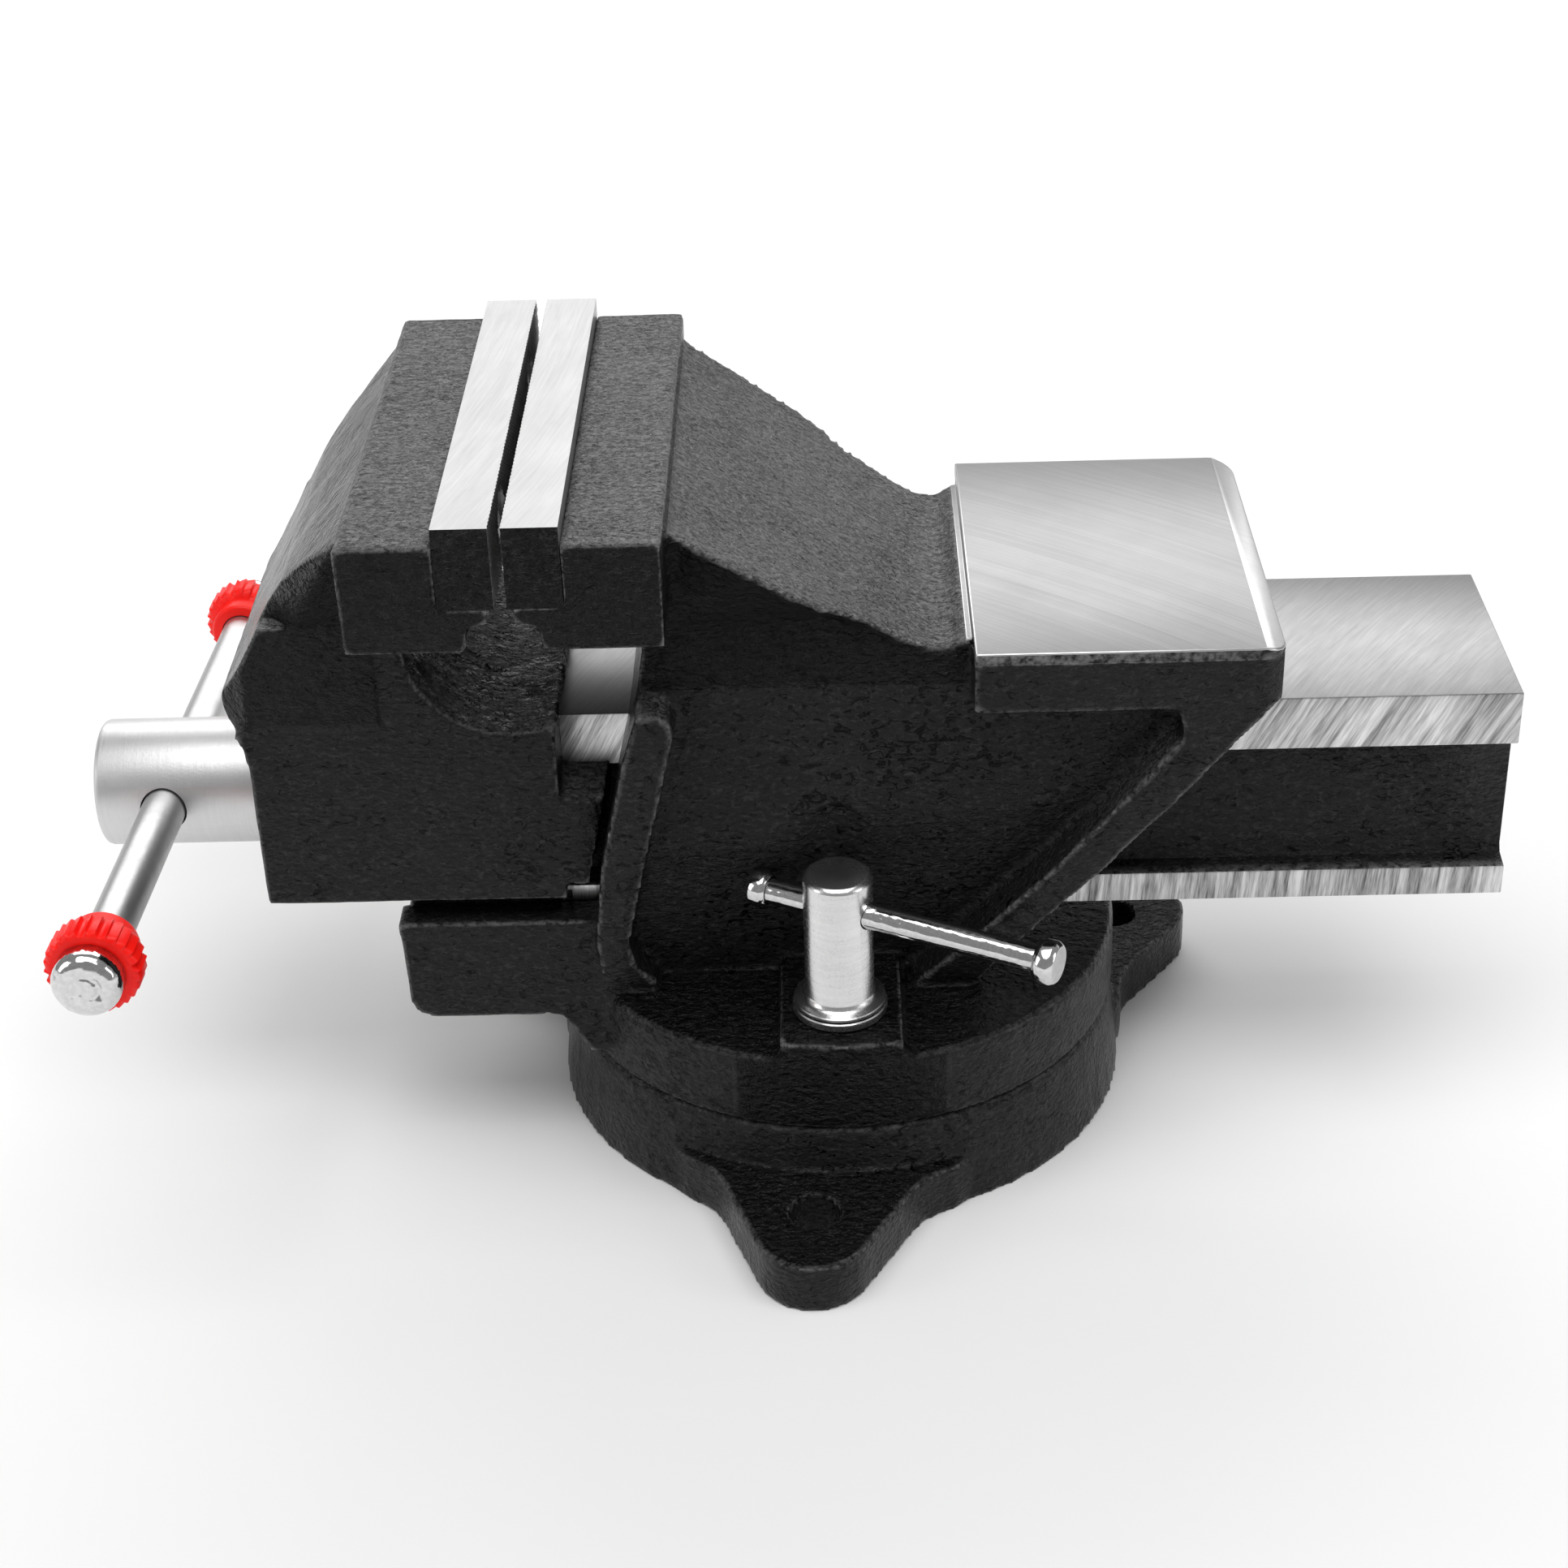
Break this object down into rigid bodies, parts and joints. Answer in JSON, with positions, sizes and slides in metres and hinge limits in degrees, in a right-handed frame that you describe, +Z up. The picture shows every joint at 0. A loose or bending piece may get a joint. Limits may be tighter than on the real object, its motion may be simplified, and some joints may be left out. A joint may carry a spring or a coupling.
{
  "type": "bench vise",
  "caption": "Swivel-base bench vise with serrated jaws, an anvil, a hollow slide, a cross-handled spindle and two swivel locks.",
  "frame": {"origin": "on the swivel axis at the bottom of the base", "axes": "+X towards the anvil and away from the handle, +Y towards the far side, +Z up from the bench"},
  "size_m": [0.3886, 0.2382, 0.2093],
  "materials": {
    "black_enamel": "gloss",
    "jaw_steel": "satin",
    "bright_steel": "satin",
    "zinc_steel": "satin",
    "cast_iron": "matte",
    "red_plastic": "satin"
  },
  "bodies": {
    "base": {"swivel_base": "black_enamel", "pivot_pin": "zinc_steel"},
    "rear_jaw": {"rear_jaw_body": "black_enamel", "rear_jaw_plate": "jaw_steel", "rear_plate_screw_near": "zinc_steel", "rear_plate_screw_far": "zinc_steel", "spindle_nut": "cast_iron", "spindle_nut_bolt": "zinc_steel", "lock_bolt_near": "zinc_steel", "lock_bolt_far": "zinc_steel", "lock_washer_near": "zinc_steel", "lock_washer_far": "zinc_steel"},
    "front_jaw": {"front_jaw_body": "black_enamel", "front_jaw_plate": "jaw_steel", "front_plate_screw_near": "zinc_steel", "front_plate_screw_far": "zinc_steel", "thrust_washer": "zinc_steel", "spindle_spring": "zinc_steel", "spring_washer": "zinc_steel"},
    "spindle": {"lead_screw": "bright_steel", "retaining_pin": "zinc_steel"},
    "handle": {"handle_bar": "bright_steel", "handle_ring_near": "red_plastic", "handle_ring_far": "red_plastic", "handle_knob_near": "bright_steel", "handle_knob_far": "bright_steel"},
    "lock_nut_near": {"lock_nut_near": "bright_steel"},
    "lock_bar_near": {"lock_bar_near": "bright_steel", "lock_bar_cap_inner_near": "bright_steel", "lock_bar_cap_outer_near": "bright_steel"},
    "lock_nut_far": {"lock_nut_far": "bright_steel"},
    "lock_bar_far": {"lock_bar_far": "bright_steel", "lock_bar_cap_inner_far": "bright_steel", "lock_bar_cap_outer_far": "bright_steel"}
  },
  "joints": [
    {"name": "swivel", "type": "hinge", "parent": "base", "child": "rear_jaw", "pos_m": [0, 0, 0], "axis": [0, 0, 1], "continuous": true},
    {"name": "jaw_slide", "type": "slide", "parent": "rear_jaw", "child": "front_jaw", "axis": [-1, 0, 0], "range_m": [-0.0021, 0.15]},
    {"name": "spindle_spin", "type": "hinge", "parent": "front_jaw", "child": "spindle", "pos_m": [-0.1867, 0, 0.097], "axis": [-1, 0, 0], "range_deg": [-160, 10810]},
    {"name": "handle_slide", "type": "slide", "parent": "spindle", "child": "handle", "axis": [0.0209, 0.9991, -0.0361], "range_m": [-0.0755, 0.0665]},
    {"name": "lock_spin_near", "type": "hinge", "parent": "rear_jaw", "child": "lock_nut_near", "pos_m": [0, -0.0596, 0.0882], "axis": [0, 0, 1], "range_deg": [0, 22]},
    {"name": "lock_bar_slide_near", "type": "slide", "parent": "lock_nut_near", "child": "lock_bar_near", "axis": [0.891, -0.454, 0], "range_m": [0, 0.0105]},
    {"name": "lock_spin_far", "type": "hinge", "parent": "rear_jaw", "child": "lock_nut_far", "pos_m": [0, 0.0596, 0.0882], "axis": [0, 0, 1], "range_deg": [0, 22]},
    {"name": "lock_bar_slide_far", "type": "slide", "parent": "lock_nut_far", "child": "lock_bar_far", "axis": [-0.891, 0.454, 0], "range_m": [0, 0.0105]}
  ],
  "couplings": [
    {"joint": "spindle_spin", "follows": "jaw_slide", "rad_per_m": 1256.6}
  ]
}
